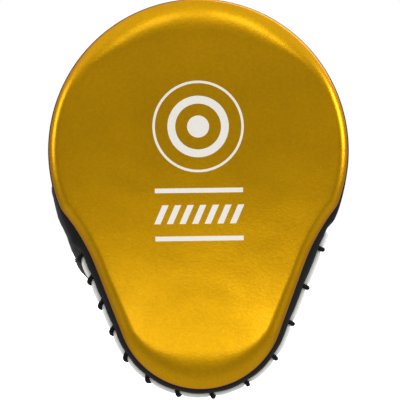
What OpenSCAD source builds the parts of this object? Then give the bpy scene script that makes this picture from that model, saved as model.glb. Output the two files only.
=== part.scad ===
// Curved focus mitt for the left hand: a padded strike face with a laced welt,
// and a glove with finger stalls, thumb stall and wrist strap on its back.
// The outlines are drawn in the plane of the face, z upwards to the fingertips,
// from the centre of the round head. Depths run from the strike face to the back.

/* [Strike face outline] */
// Radius of the round head
head_r = 95.35; // [90:0.5:100]
// Turn of the head's arc, from the top to the shoulder
head_turn = 110.7; // [108:0.5:112]
// Radius of the tighter shoulder below the head
shoulder_r = 17.5; // [12:0.5:25]
// Turn of the shoulder
shoulder_turn = 17.7; // [14:0.5:20]
// Radius of the hollow neck
neck_r = 135.7; // [110:5:170]
// Turn of the neck, back towards the lobe
neck_turn = 17.3; // [14:0.5:20]
// Straight length of the flank above the lobe
flank_len = 46.2; // [35:1:50]

/* [Back outline] */
// Radius of the back's head, over the welt
back_head_r = 94.3; // [90:0.5:95]
// Turn of the back's head
back_head_turn = 99.5; // [97:0.5:101]
// Radius of the full flank below it
back_flank_r = 250; // [200:10:400]
// Turn of the full flank
back_flank_turn = 13.7; // [10:0.5:15]
// Straight length down to the back's lobe
back_flank_len = 53; // [45:1:58]

/* [Pad build-up] */
// Radius that the whole pad is curved to, measured at the strike face
curve_r = 380; // [350:10:450]
// Height of the deepest line of the strike face, from the head's centre
curve_z = -20; // [-30:1:-10]
// Thickness of the faux leather of the face, gusset and back
skin_t = 1.6; // [1.2:0.1:2]
// Depth of the face cover's rim
rim_depth = 24; // [20:1:28]
// Depth of the whole pad
pad_depth = 42; // [38:1:46]
// Depth where the soft strike foam ends
strike_foam_end = 13.7; // [10:0.5:18]
// Width of the gusset's front flange under the face cover
flange_w = 5; // [4:0.5:8]
// Radius of the welt along the laced opening at the heel
welt_r = 2; // [1.5:0.1:2.5]
// Height of the welt's end away from the thumb, from the head's centre
welt_end_z = -53; // [-60:1:-45]
// Height of the welt's end behind the thumb
thumb_welt_end_z = -66; // [-68:1:-60]
// Radius of the lace
lace_r = 1.3; // [1:0.1:1.6]
// Spacing of the first lace turns, on the side away from the thumb
lace_pitch = 27; // [24:0.5:28]
// How much each step of the lace is shorter than the one before
lace_tighten = 0.92; // [0.5:0.02:1]
// Number of lace turns
lace_count = 13; // [10:1:14]

/* [Glove] */
// Width of the hand space
pocket_w = 94; // [88:1:98]
// Height of the hand space above the back panel, half way along the hood
pocket_h = 34; // [32:1:42]
// Fall of the hood's roof towards the fingers
hood_fall = 6; // [0:1:8]
// Radius of the hand space's corners
pocket_corner_r = 24; // [20:1:28]
// Thickness of the hood's padding
hood_pad_t = 6; // [4:0.5:8]
// Height of the hood's cuff edge, from the head's centre
cuff_z = -93; // [-96:1:-90]
// Radius of the finger bores
finger_bore_r = 10; // [9:0.25:10.5]
// Wall of the finger and thumb stalls
stall_t = 1.5; // [1:0.1:1.6]
// Spacing of the finger stalls at the knuckles
finger_pitch = 23.5; // [23.4:0.1:24]
// Lengths of the index, middle, ring and little stalls
finger_lens = [73, 80, 75, 62]; // [55:1:82]
// Radius of the thumb bore
thumb_bore_r = 13.5; // [12:0.5:13.5]
// Length of the thumb stall
thumb_len = 60; // [55:1:64]
// Lean of the thumb stall away from upright
thumb_lean = 18.6; // [15:0.5:20]
// Radius of the padded palm dome at the back panel
dome_base_r = 34; // [30:1:38]
// Height of the padded palm dome
dome_h = 12; // [8:1:14]

/* [Wrist strap] */
// Width of the wrist space
wrist_w = 70; // [66:1:74]
// Height of the wrist space
wrist_h = 38; // [34:1:42]
// Height of the strap's middle, from the head's centre
strap_z = -113; // [-114:1:-112]
// Width of the strap's webbing
strap_w = 30; // [26:1:30]
// Thickness of the strap's webbing
strap_t = 2; // [1.6:0.1:2.4]
// Thickness of each half of the touch fastener
fastener_t = 1.2; // [1:0.1:1.5]

/* [Hidden] */

gap = 0.3;                         // air between neighbouring pieces
cut = 1;                           // overshoot of every cutting tool
reach = 300;                       // longer than anything it cuts
back_r = curve_r + pad_depth;      // radius of the back panel's outer face
welt_out = 2 * welt_r + 0.2;       // how far the welt stands out of the gusset
core_foam_end = rim_depth - gap;

// The row's frame starts at the hand pocket's mouth; this is the head's centre in it.
mouth_lift = 18;                   // middle of the pocket's mouth above the panel
head_y = -(back_depth(cuff_z) + mouth_lift);
head_z = -cuff_z;

// ---- Outlines ----
// A leg is [radius, turn]: an arc to the right, or to the left where the radius is
// negative; a leg of radius 0 is a straight, and its second number is its length.
function face_legs() = [[head_r, head_turn], [shoulder_r, shoulder_turn],
                        [-neck_r, neck_turn], [0, flank_len]];
function back_legs() = [[back_head_r, back_head_turn],
                        [back_flank_r, back_flank_turn], [0, back_flank_len]];
function ahead(h) = [cos(h), -sin(h)];
function rightward(h) = [-sin(h), -cos(h)];
function arc_steps(turn) = max(3, ceil(turn / 4));
// Points of one leg from start p with heading h, without its first point
function leg_points(p, h, leg, inset) =
    leg[0] == 0 ? [p + leg[1] * ahead(h)] :
    let (side = sign(leg[0]), r = abs(leg[0]) - side * inset, n = arc_steps(leg[1]),
         centre = p + side * r * rightward(h))
    [for (i = [1:n]) centre - side * r * rightward(h + side * leg[1] * i / n)];
function heading_after(h, leg) = leg[0] == 0 ? h : h + sign(leg[0]) * leg[1];
// The lobe's arc closes the half outline on the centre line
function half_points(p, h, legs, inset, i = 0) =
    i == len(legs) ? leg_points(p, h, [p[0] / sin(h) + inset, 180 - h], inset) :
    let (pts = leg_points(p, h, legs[i], inset))
    concat(pts, half_points(pts[len(pts) - 1], heading_after(h, legs[i]), legs, inset, i + 1));
function outline(legs, inset) =
    let (top = [0, legs[0][0] - inset], half = half_points(top, 0, legs, inset), n = len(half))
    concat([top], half, [for (i = [n - 2:-1:0]) [-half[i][0], half[i][1]]]);

// ---- Curved layers ----
// Everything nearer the front than a given depth behind the strike face
module within_depth(depth)
    translate([0, -curve_r, curve_z]) rotate([0, 90, 0])
        cylinder(r = curve_r + depth, h = reach, center = true, $fn = 360);

module prism(points)
    rotate([90, 0, 0]) linear_extrude(height = reach, center = true) polygon(points);

module layer(points, from, to)
    difference() {
        intersection() {
            prism(points);
            within_depth(to);
        }
        within_depth(from);
    }

// Depth of a point on the pad's back face, for a height above the head's centre
function back_depth(z, depth = pad_depth) =
    -curve_r + sqrt(pow(curve_r + depth, 2) - pow(z - curve_z, 2));
function back_tilt(z) = asin((z - curve_z) / back_r);

module from_head() translate([0, head_y, head_z]) children();

// Stands its children on the back panel: y outwards from the panel, z along it
module on_back(x, z, lift = 0, lean = 0)
    from_head() translate([x, back_depth(z), z]) rotate([back_tilt(z), 0, 0])
        translate([0, lift, 0]) rotate([0, lean, 0]) children();

// The pad and a little air around it, for cutting what stands on it
module pad_space(extra = gap) from_head() within_depth(pad_depth + extra);

// ---- Arches of the hood and the strap ----
module arch_2d(w, h, r, foot = 0) {
    for (side = [-1, 1]) translate([side * (w / 2 - r), h - r]) circle(r, $fn = 96);
    translate([-w / 2, -foot]) square([w, h - r + foot]);
    translate([-(w / 2 - r), -foot]) square([w - 2 * r, h + foot]);
}
// An arch grown outwards by out, run along z; x stays across and y is its height
module arch(w, h, r, out, z_from, z_to, foot = 12)
    translate([0, 0, z_from]) linear_extrude(height = z_to - z_from)
        arch_2d(w + 2 * out, h + out, r + out, foot);

module arch_wall(w, h, r, out_from, out_to, z_from, z_to)
    difference() {
        arch(w, h, r, out_to, z_from, z_to);
        arch(w, h, r, out_from, z_from - cut, z_to + cut, 12 + cut);
    }

// ---- Pad ----
module face_cover() color("goldenrod") from_head()
    difference() {
        layer(outline(face_legs(), 0), 0, rim_depth);
        layer(outline(face_legs(), skin_t), skin_t, rim_depth + cut);
    }

// A plain printed target: two rings and a dot, with two rules and a row of slanted bars
target_rings = [[29, 1.6], [19.5, 5]];     // outer radius and line of each
target_dot_r = 7;
target_z = 15;
rule_w = 56;
rule_h = 3;
rule_heights = [-25.5, -56];
bar_count = 7;
bar_pitch = 8;
bar_w = 4;
bar_h = 12;
bar_slant = 5.4;                           // how far a bar's top leans to the side
bar_z = -40.7;
print_t = 0.2;
print_lift = 0.02;                         // of the print over the leather
module print_2d() {
    translate([0, target_z]) {
        for (ring = target_rings) difference() {
            circle(ring[0], $fn = 120);
            circle(ring[0] - ring[1], $fn = 120);
        }
        circle(target_dot_r, $fn = 60);
    }
    for (z = rule_heights) translate([-rule_w / 2, z - rule_h / 2]) square([rule_w, rule_h]);
    for (i = [0:bar_count - 1])
        translate([(i - (bar_count - 1) / 2) * bar_pitch - (bar_w + bar_slant) / 2,
                   bar_z - bar_h / 2])
            polygon([[0, 0], [bar_w, 0], [bar_w + bar_slant, bar_h], [bar_slant, bar_h]]);
}
module face_print() color("whitesmoke") from_head()
    difference() {
        intersection() {
            rotate([90, 0, 0]) linear_extrude(height = reach, center = true) print_2d();
            within_depth(-print_lift);
        }
        within_depth(-print_lift - print_t);
    }

module strike_foam() color("khaki") from_head()
    layer(outline(face_legs(), skin_t + gap), skin_t + gap, strike_foam_end);

module core_foam() color("lightgray") from_head()
    layer(outline(face_legs(), skin_t + gap), strike_foam_end + gap, core_foam_end);

module backing_foam() color("gray") from_head()
    difference() {
        layer(outline(back_legs(), welt_out + skin_t + gap),
              rim_depth + gap, pad_depth - skin_t - gap);
        // the gusset's flange lies in a step round the front edge
        difference() {
            within_depth(rim_depth + skin_t + 2 * gap);
            prism(outline(face_legs(), flange_w + gap));
        }
    }

module side_gusset() color("dimgray") from_head()
    difference() {
        layer(outline(back_legs(), welt_out), rim_depth + gap, pad_depth - skin_t - gap);
        layer(outline(back_legs(), welt_out + skin_t), rim_depth + gap + skin_t, pad_depth + cut);
        layer(outline(face_legs(), flange_w), rim_depth - cut, rim_depth + skin_t + cut);
    }

module back_panel() color("black") from_head()
    layer(outline(back_legs(), welt_out), pad_depth - skin_t, pad_depth);

// ---- Welt and lace ----
// The cover is sewn shut round the head and laced shut round the heel, over a welt
welt_depth = pad_depth - welt_r / 2;
back_half = half_points([0, back_head_r - welt_r], 0, back_legs(), welt_r);
function welt_x(z) = lookup(-z, [for (p = back_half) [-p[1], p[0]]]);
function below_end(p) = p[1] < (p[0] > 0 ? welt_end_z : thumb_welt_end_z) - 1;
welt_path = concat([[welt_x(welt_end_z), welt_end_z]],
                   [for (p = outline(back_legs(), welt_r)) if (below_end(p)) p],
                   [[-welt_x(thumb_welt_end_z), thumb_welt_end_z]]);
welt_count = len(welt_path);
function cross3(a, b) = [a[1] * b[2] - a[2] * b[1], a[2] * b[0] - a[0] * b[2],
                         a[0] * b[1] - a[1] * b[0]];
function unit(v) = v / norm(v);
function on_welt(i) =
    let (p = welt_path[i])
    [p[0], back_depth(p[1], welt_depth), p[1]];
function welt_tangent(i) =
    unit(on_welt(min(i + 1, welt_count - 1)) - on_welt(max(i - 1, 0)));
welt_sides = 10;
module welt() color("whitesmoke") from_head()
    polyhedron(
        points = [for (i = [0:welt_count - 1])
            let (t = welt_tangent(i), u = unit(cross3(t, [0, 1, 0])), v = cross3(t, u))
            for (s = [0:welt_sides - 1])
                on_welt(i) + welt_r * (cos(s * 360 / welt_sides) * u + sin(s * 360 / welt_sides) * v)],
        faces = concat(
            [for (i = [0:welt_count - 2]) for (s = [0:welt_sides - 1])
                let (a = i * welt_sides + s, b = i * welt_sides + (s + 1) % welt_sides,
                     c = b + welt_sides, d = a + welt_sides)
                each [[a, b, c], [a, c, d]]],
            [[for (s = [welt_sides - 1:-1:0]) s]],
            [[for (s = [0:welt_sides - 1]) (welt_count - 1) * welt_sides + s]]));

// Running length of the welt up to each of its points, for the lace's turns
function run_lengths(i = 0, total = 0) =
    i == welt_count - 1 ? [total] :
    concat([total], run_lengths(i + 1, total + norm(on_welt(i + 1) - on_welt(i))));
welt_runs = run_lengths();
lace_start = 12;                           // from the welt's end to the first turn
lace_slant = 22;
function lace_run(k) = lace_start + lace_pitch * k - lace_tighten * k * k / 2;
function at_run(s, axis) =
    lookup(s, [for (i = [0:welt_count - 1]) [welt_runs[i], on_welt(i)[axis]]]);
function run_point(s) = [at_run(s, 0), at_run(s, 1), at_run(s, 2)];
module whip_lace() color("black") from_head()
    for (k = [0:lace_count - 1])
        let (s = lace_run(k),
             p = run_point(s), t = unit(run_point(s + 0.5) - run_point(s - 0.5)))
        translate(p) rotate([0, acos(t[2]), atan2(t[1], t[0])]) rotate([lace_slant, 0, 0])
            rotate_extrude($fn = 48)
                translate([welt_r + lace_r + 0.2, 0]) circle(lace_r, $fn = 24);

// ---- Palm dome ----
dome_z = -50;
dome_r = (pow(dome_base_r, 2) + pow(dome_h, 2)) / (2 * dome_h);
dome_cover_t = 1.2;
module dome_ball(r) on_back(0, dome_z, dome_h - dome_r) sphere(r, $fn = 180);
module palm_dome_cover() color("black")
    difference() {
        dome_ball(dome_r);
        dome_ball(dome_r - dome_cover_t);
        pad_space();
    }
module palm_dome_foam() color("khaki")
    difference() {
        dome_ball(dome_r - dome_cover_t - gap);
        pad_space();
    }

// ---- Hood over the back of the hand ----
hood_z = -50;                              // where the hood's own frame stands
lining_t = 1;
pad_from = lining_t + gap;
shell_from = pad_from + hood_pad_t + gap;
hood_out = shell_from + skin_t;
hood_reach = 60;                           // past the knuckles, before the bridge cuts it off
binding_lap = 0.6;                         // how far the cuff's binding stands past the hood
binding_w = 3;
// The fingers share one frame, half way up the stalls; their mouths lie in one plane
finger_z = 36;
mouth_z = -38;                             // the mouths' plane in that frame
bridge_t = 3;
bridge_drop = 4;                           // the roof has fallen this much at the bridge
cuff_from = cuff_z - hood_z;

module in_hood() on_back(0, hood_z) rotate([hood_fall, 0, 0]) children();
module in_fingers() on_back(0, finger_z) children();
module above_bridge(drop)
    in_fingers() translate([-reach / 2, -reach / 2, mouth_z - bridge_t - drop]) cube(reach);

module hood_layer(out_from, out_to)
    difference() {
        in_hood() arch_wall(pocket_w, pocket_h, pocket_corner_r, out_from, out_to,
                            cuff_from, hood_reach);
        above_bridge(gap);
        pad_space();
        thumb_root(thumb_bore_r + stall_t + 2 * gap);
        thumb_sweep();
    }
module hood_shell() color("black") hood_layer(shell_from, hood_out);
module hood_foam() color("khaki") hood_layer(pad_from, pad_from + hood_pad_t);
module hood_lining() color("silver") hood_layer(0, lining_t);

module cuff_binding() color("black")
    difference() {
        in_hood() arch_wall(pocket_w, pocket_h, pocket_corner_r, -binding_lap,
                            hood_out + binding_lap,
                            cuff_from - gap - binding_w, cuff_from - gap);
        pad_space();
    }

finger_outer_r = finger_bore_r + stall_t;
finger_leans = [-3.5, -1.2, 1.2, 3.8];
function finger_x(i) = (i - 1.5) * finger_pitch;
finger_lift = finger_outer_r + 0.6;
module in_finger(i)
    in_fingers() translate([finger_x(i), finger_lift, mouth_z]) rotate([0, finger_leans[i], 0])
        children();

module knuckle_bridge() color("black")
    difference() {
        in_fingers() arch(pocket_w, pocket_h - bridge_drop, pocket_corner_r, hood_out,
                          mouth_z - bridge_t, mouth_z);
        for (i = [0:3]) in_finger(i) translate([0, 0, -bridge_t - cut])
            cylinder(r = finger_bore_r, h = bridge_t + 2 * cut, $fn = 64);
        pad_space();
    }

// A round-ended sleeve from its mouth at z = 0 to its tip at z = length
module stall(bore_r, length) {
    outer_r = bore_r + stall_t;
    difference() {
        union() {
            cylinder(r = outer_r, h = length - outer_r, $fn = 72);
            translate([0, 0, length - outer_r]) sphere(outer_r, $fn = 72);
        }
        translate([0, 0, -cut]) cylinder(r = bore_r, h = length - outer_r + cut, $fn = 72);
        translate([0, 0, length - outer_r]) sphere(bore_r, $fn = 72);
    }
}
module finger_stall(i) color("black")
    in_finger(i) translate([0, 0, gap + finger_outer_r * sin(abs(finger_leans[i]))])
        stall(finger_bore_r, finger_lens[i]);
module index_stall() finger_stall(0);
module middle_stall() finger_stall(1);
module ring_stall() finger_stall(2);
module little_stall() finger_stall(3);

// ---- Thumb ----
thumb_x = -67.3;                           // the thumb stall's root
thumb_z = -66;
thumb_lift = 18.5;
thumb_slot = 6.5;                          // room for the stall to tilt on its root
root_len = 10;                             // of the gusset below the root
module in_thumb() on_back(thumb_x, thumb_z, thumb_lift, -thumb_lean) children();
// A cup, round below
module thumb_root(r, h = root_len - thumb_slot)
    in_thumb() translate([0, 0, -root_len]) rotate_extrude($fn = 72) {
        square([r, h]);
        intersection() {
            circle(r, $fn = 72);
            translate([0, -r]) square(r);
        }
    }
// The room that the stall takes beside the hood as it lifts, about its middle place
thumb_half_lift = 10;
sweep_room = 3;
sweep_len = 30;
module thumb_sweep()
    in_thumb() rotate([-thumb_half_lift, 0, 0]) translate([0, 0, -thumb_slot - sweep_room])
        cylinder(r = thumb_bore_r + stall_t + sweep_room, h = sweep_len, $fn = 72);
module thumb_gusset() color("black")
    difference() {
        thumb_root(thumb_bore_r + stall_t);
        thumb_root(thumb_bore_r, root_len);
        in_hood() arch(pocket_w, pocket_h, pocket_corner_r, 0, cuff_from, hood_reach);
        pad_space();
    }
module thumb_stall() color("black") in_thumb() stall(thumb_bore_r, thumb_len);

// ---- Wrist strap ----
wrist_corner_r = 16;
loop_out = strap_t;                        // outer face of the loop tab
patch_out = loop_out + gap / 2;
hook_out = patch_out + fastener_t + gap;
web_out = hook_out + fastener_t + gap / 2;
tip_x = 15;                                // where the tip leaves the webbing
patch_x = 13;                              // where the fastener starts
patch_end_x = -18;                         // and where it ends
leg_foot = 4;                              // the strap's leg ends here, on its hinge
patch_foot = 5;                            // height above which a patch is kept
patch_margin = 2;                          // from a patch's sides to the strap's
anchor_w = 11;
anchor_t = 1.4;
anchor_lap = 2;                            // how far the anchor reaches past the strap
tab_end = -60;                             // past the loop tab's sewn root

module in_strap() on_back(0, strap_z) children();
// A band of the wrist arch, kept between two places across and above a height
module wrist_band(out_from, out_to, w, x_from, x_to, y_from)
    intersection() {
        arch_wall(wrist_w, wrist_h, wrist_corner_r, out_from, out_to, -w / 2, w / 2);
        translate([x_from, y_from, -w]) cube([x_to - x_from, 100, 2 * w]);
    }
module strap_anchor() color("black")
    difference() {
        in_strap() translate([wrist_w / 2 + web_out + anchor_lap - anchor_w, gap, -strap_w / 2])
            cube([anchor_w, anchor_t, strap_w]);
        pad_space(gap / 2);
    }
module loop_tab() color("black")
    difference() {
        in_strap() wrist_band(0, loop_out, strap_w, tab_end, patch_x, -2);
        pad_space();
    }
module loop_patch() color("dimgray")
    in_strap() wrist_band(patch_out, patch_out + fastener_t, strap_w - 2 * patch_margin,
                          patch_end_x, patch_x, patch_foot);
module wrist_strap() color("black")
    in_strap() wrist_band(web_out, web_out + strap_t, strap_w, tip_x, -tab_end, leg_foot);
module strap_tip() color("dimgray")
    in_strap() {
        wrist_band(web_out, web_out + strap_t, strap_w, patch_end_x, tip_x - gap, leg_foot);
        // rounded pull end
        translate([patch_end_x, wrist_h + web_out + strap_t / 2, 0]) rotate([90, 0, 0])
            intersection() {
                cylinder(r = strap_w / 2, h = strap_t, center = true, $fn = 72);
                translate([-strap_w, -strap_w, -strap_t]) cube([strap_w, 2 * strap_w, 2 * strap_t]);
            }
    }
module hook_patch() color("gray")
    in_strap() wrist_band(hook_out, hook_out + fastener_t, strap_w - 2 * patch_margin,
                          patch_end_x, patch_x, patch_foot);

face_cover();
face_print();
strike_foam();
core_foam();
backing_foam();
side_gusset();
back_panel();
welt();
whip_lace();
palm_dome_cover();
palm_dome_foam();
hood_shell();
hood_foam();
hood_lining();
cuff_binding();
knuckle_bridge();
index_stall();
middle_stall();
ring_stall();
little_stall();
thumb_gusset();
thumb_stall();
strap_anchor();
wrist_strap();
strap_tip();
hook_patch();
loop_tab();
loop_patch();
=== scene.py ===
"""Looks of the curved focus mitt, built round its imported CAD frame.

Lengths are in millimetres until mesh_object() scales them to metres. The outlines,
depths and frames are those of the CAD: z up to the fingertips, y from the strike face
to the glove, x to the side away from the thumb.
"""
import math

import bmesh
import bpy
import numpy as np
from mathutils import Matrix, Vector, noise
from mathutils.bvhtree import BVHTree


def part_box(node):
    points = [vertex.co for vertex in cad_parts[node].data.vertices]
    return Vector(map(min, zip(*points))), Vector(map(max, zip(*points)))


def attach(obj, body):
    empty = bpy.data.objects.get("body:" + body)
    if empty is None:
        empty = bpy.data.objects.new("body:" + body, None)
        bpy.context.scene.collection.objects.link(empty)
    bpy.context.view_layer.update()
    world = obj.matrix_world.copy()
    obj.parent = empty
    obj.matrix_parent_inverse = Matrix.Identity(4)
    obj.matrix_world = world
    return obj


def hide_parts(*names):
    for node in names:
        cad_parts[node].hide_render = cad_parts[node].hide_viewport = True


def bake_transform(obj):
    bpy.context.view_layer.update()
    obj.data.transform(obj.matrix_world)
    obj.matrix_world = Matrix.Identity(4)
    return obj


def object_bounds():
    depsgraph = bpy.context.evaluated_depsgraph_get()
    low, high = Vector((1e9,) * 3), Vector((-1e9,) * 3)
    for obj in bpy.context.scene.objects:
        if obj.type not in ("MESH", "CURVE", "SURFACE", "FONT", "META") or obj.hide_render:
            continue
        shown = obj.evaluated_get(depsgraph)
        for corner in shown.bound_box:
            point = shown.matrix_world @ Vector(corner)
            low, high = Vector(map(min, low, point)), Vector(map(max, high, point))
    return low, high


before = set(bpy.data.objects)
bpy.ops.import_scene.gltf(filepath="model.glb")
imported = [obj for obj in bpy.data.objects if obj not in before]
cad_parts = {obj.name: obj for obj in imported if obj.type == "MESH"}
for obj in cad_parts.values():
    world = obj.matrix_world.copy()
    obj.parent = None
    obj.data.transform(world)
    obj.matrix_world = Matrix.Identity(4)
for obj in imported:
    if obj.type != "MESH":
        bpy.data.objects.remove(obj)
cad_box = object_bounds()

MM = 0.001

# ---------------------------------------------------------------- sizes of the CAD

FACE_LEGS = [(95.35, 110.7), (17.5, 17.7), (-135.7, 17.3), (0, 46.2)]
BACK_LEGS = [(94.3, 99.5), (250.0, 13.7), (0, 53.0)]
CURVE_R, CURVE_Z = 380.0, -20.0
PAD_DEPTH, RIM_DEPTH = 42.0, 24.0
BACK_R = CURVE_R + PAD_DEPTH
SKIN = 1.4
WELT_R = 2.0
WELT_OUT = 2 * WELT_R + 0.2
WELT_ENDS_Z = -53.0, -66.0                  # away from the thumb, and behind it
SEAM_OUT = 0.6                             # inset of the sewn seam where there is no welt
LACE_R = 1.5
LACE_START, LACE_PITCH, LACE_TIGHTEN, LACE_COUNT = 12.0, 27.0, 0.92, 13
CUFF_Z, MOUTH_LIFT = -93.0, 18.0
HEAD_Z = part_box("face_cover")[1].z / MM - FACE_LEGS[0][0]


def back_depth(z, depth=PAD_DEPTH):
    """Depth of a height on a curved layer, both from the head's centre."""
    return -CURVE_R + np.sqrt((CURVE_R + depth) ** 2 - (z - CURVE_Z) ** 2)


HEAD_Y = -(back_depth(CUFF_Z) + MOUTH_LIFT)

# ---------------------------------------------------------------- outlines


STEP = 2.0                                 # between the points of a drawn outline


def half_outline(legs, inset):
    """Right half of an outline from the top to the bottom centre, as points (x, z).

    A leg is (radius, turn in degrees); a negative radius curves the other way, and
    a radius of 0 makes a straight whose length is the second number.
    """
    point, heading = np.array([0.0, legs[0][0] - inset]), 0.0
    points = [point]
    for radius, turn in [*legs, (None, None)]:
        if radius is None:  # the lobe closes the outline on the centre line
            radius = point[0] / math.sin(heading) + inset
            turn = 180 - math.degrees(heading)
        if radius == 0:
            count = math.ceil(turn / STEP)
            ahead = np.array([math.cos(heading), -math.sin(heading)])
            points += [point + ahead * turn * i / count for i in range(1, count + 1)]
        else:
            side = math.copysign(1, radius)
            r, sweep = abs(radius) - side * inset, side * math.radians(turn)
            count = math.ceil(abs(radius * sweep) / STEP)
            right = lambda h: np.array([-math.sin(h), -math.cos(h)])
            centre = point + side * r * right(heading)
            points += [centre - side * r * right(heading + sweep * i / count)
                       for i in range(1, count + 1)]
            heading += sweep
        point = points[-1]
    return np.array(points)


def resample(points, count):
    """The same line with its points evenly spaced along it."""
    run = np.concatenate([[0], np.cumsum(np.linalg.norm(np.diff(points, axis=0), axis=1))])
    at = np.linspace(0, run[-1], count)
    return np.stack([np.interp(at, run, c) for c in points.T], 1)


def whole(half):
    """A closed outline from its right half: clockwise from the top, seen from the front."""
    left = half[-2:0:-1] * [-1, 1]
    return np.concatenate([half, left])


def ring(legs, inset=0.0, count=None):
    half = half_outline(legs, inset)
    return whole(half if count is None else resample(half, count))


def round_angles(count):
    """Angles evenly spaced round a circle."""
    return np.arange(count) * 2 * math.pi / count


def eased(v):
    """A share from 0 to 1 that starts and stops softly."""
    return v * v * (3 - 2 * v)


def unit(vectors):
    """The same directions at length 1."""
    return vectors / np.linalg.norm(vectors, axis=-1, keepdims=True)


def outward(outline):
    """Unit normals of a closed outline, in its plane."""
    tangent = np.roll(outline, -1, 0) - np.roll(outline, 1, 0)
    return unit(np.stack([-tangent[:, 1], tangent[:, 0]], 1))


def distance_to(outline, points):
    """Distance of each point (x, z) to a closed outline."""
    a, b = outline, np.roll(outline, -1, 0)
    ab = b - a
    best = np.full(len(points), 1e9)
    for p0, d in zip(a, ab):
        t = np.clip(((points - p0) @ d) / max(d @ d, 1e-9), 0, 1)
        best = np.minimum(best, np.linalg.norm(points - p0 - t[:, None] * d, axis=1))
    return best


# ---------------------------------------------------------------- places


def on_pad(xz, depth):
    """Points (x, z) of the outlines' plane, laid at a depth of the curved pad."""
    z = xz[..., 1]
    return np.stack([xz[..., 0], HEAD_Y + back_depth(z, depth), z + HEAD_Z], -1)


def along_back(z):
    """Running length on the back panel at a height, from the pad's deepest line."""
    return BACK_R * math.asin((z - CURVE_Z) / BACK_R)


def on_back(x, s, h):
    """A point h above the back panel, s along it and x across it."""
    x, s, h = np.broadcast_arrays(np.asarray(x, float), s, h)
    a = s / BACK_R
    return np.stack([x, HEAD_Y - CURVE_R + (BACK_R + h) * np.cos(a),
                     HEAD_Z + CURVE_Z + (BACK_R + h) * np.sin(a)], -1)


def standing(x, z, lift=0.0, lean=0.0):
    """The CAD's straight frame on the back panel, as (origin, 3x3 matrix)."""
    tilt, lean = math.asin((z - CURVE_Z) / BACK_R), math.radians(lean)
    turn = np.array([[1, 0, 0], [0, math.cos(tilt), -math.sin(tilt)],
                     [0, math.sin(tilt), math.cos(tilt)]])
    sway = np.array([[math.cos(lean), 0, math.sin(lean)], [0, 1, 0],
                     [-math.sin(lean), 0, math.cos(lean)]])
    origin = np.array([x, HEAD_Y + back_depth(z), z + HEAD_Z]) + turn @ [0, lift, 0]
    return origin, turn @ sway


def put(place, points):
    """Local points (x across, y off the panel, z along it), put in the row's frame."""
    origin, matrix = place
    return origin + np.asarray(points, float) @ matrix.T


# ---------------------------------------------------------------- mesh making


def grid_faces(rows, cols, wrap_rows=False, wrap_cols=False, start=0):
    faces = []
    for i in range(rows - (0 if wrap_rows else 1)):
        for j in range(cols - (0 if wrap_cols else 1)):
            k, m = (i + 1) % rows, (j + 1) % cols
            faces.append([start + i * cols + j, start + i * cols + m,
                          start + k * cols + m, start + k * cols + j])
    return faces


def capped_faces(rows, cols):
    """Faces of a row of rings, closed at both ends."""
    last = (rows - 1) * cols
    ends = [list(range(cols))[::-1], [last + j for j in range(cols)]]
    return grid_faces(rows, cols, wrap_cols=True) + ends


def slab_faces(rows, cols):
    """Faces of two grids of points, one behind the other, joined round their edges."""
    count = rows * cols
    edge = ([j for j in range(cols)] + [i * cols + cols - 1 for i in range(1, rows)]
            + [(rows - 1) * cols + j for j in range(cols - 2, -1, -1)]
            + [i * cols for i in range(rows - 2, 0, -1)])
    sides = [[a, b, b + count, a + count] for a, b in zip(edge, edge[1:] + edge[:1])]
    behind = [f[::-1] for f in grid_faces(rows, cols, start=count)]
    return grid_faces(rows, cols) + behind + sides


def mesh_object(name, points, faces, material, smooth=True, merge=0.0):
    mesh = bpy.data.meshes.new(name)
    points = np.asarray(points, float).reshape(-1, 3) * MM
    mesh.from_pydata(points.tolist(), [], faces)
    bm = bmesh.new()
    bm.from_mesh(mesh)
    if merge:
        bmesh.ops.remove_doubles(bm, verts=bm.verts, dist=merge * MM)
    bmesh.ops.recalc_face_normals(bm, faces=bm.faces)
    bm.to_mesh(mesh)
    bm.free()
    mesh.polygons.foreach_set("use_smooth", [smooth] * len(mesh.polygons))
    mesh.materials.append(material)
    obj = bpy.data.objects.new(name, mesh)
    bpy.context.scene.collection.objects.link(obj)
    return obj


def rings_object(name, rows, material, merge=0.0):
    """A surface through closed rings of points: rows x points x 3."""
    faces = grid_faces(*rows.shape[:2], wrap_cols=True)
    return mesh_object(name, rows, faces, material, merge=merge)


def bar_object(name, rows, material, smooth=True, merge=0.0):
    """A closed body through rings of points, flat at both ends."""
    return mesh_object(name, rows, capped_faces(*rows.shape[:2]), material, smooth, merge)


def sheet_object(name, grid, material):
    """An open sheet through a grid of points, its outside away from the strike face."""
    obj = mesh_object(name, grid, grid_faces(*grid.shape[:2]), material)
    face_towards(obj, BACKWARDS)
    return obj


FORWARDS, BACKWARDS = Vector((0, -1, 0)), Vector((0, 1, 0))


def face_towards(obj, direction):
    """Turns the whole mesh's normals if they point away from a direction on average."""
    if sum(p.normal.dot(direction) * p.area for p in obj.data.polygons) < 0:
        obj.data.flip_normals()


def turn_outside(obj):
    """Turns the whole mesh's normals away from its middle, if they point in on average."""
    middle = Vector(np.array([v.co for v in obj.data.vertices]).mean(0))
    total = sum(p.normal.dot(p.center - middle) * p.area for p in obj.data.polygons)
    if total < 0:
        obj.data.flip_normals()


def solidify(obj, thickness):
    """Gives an open sheet its thickness, inwards from the side that its normals show."""
    m = obj.modifiers.new("thickness", "SOLIDIFY")
    m.thickness, m.offset, m.use_even_offset = thickness * MM, -1, False


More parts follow.
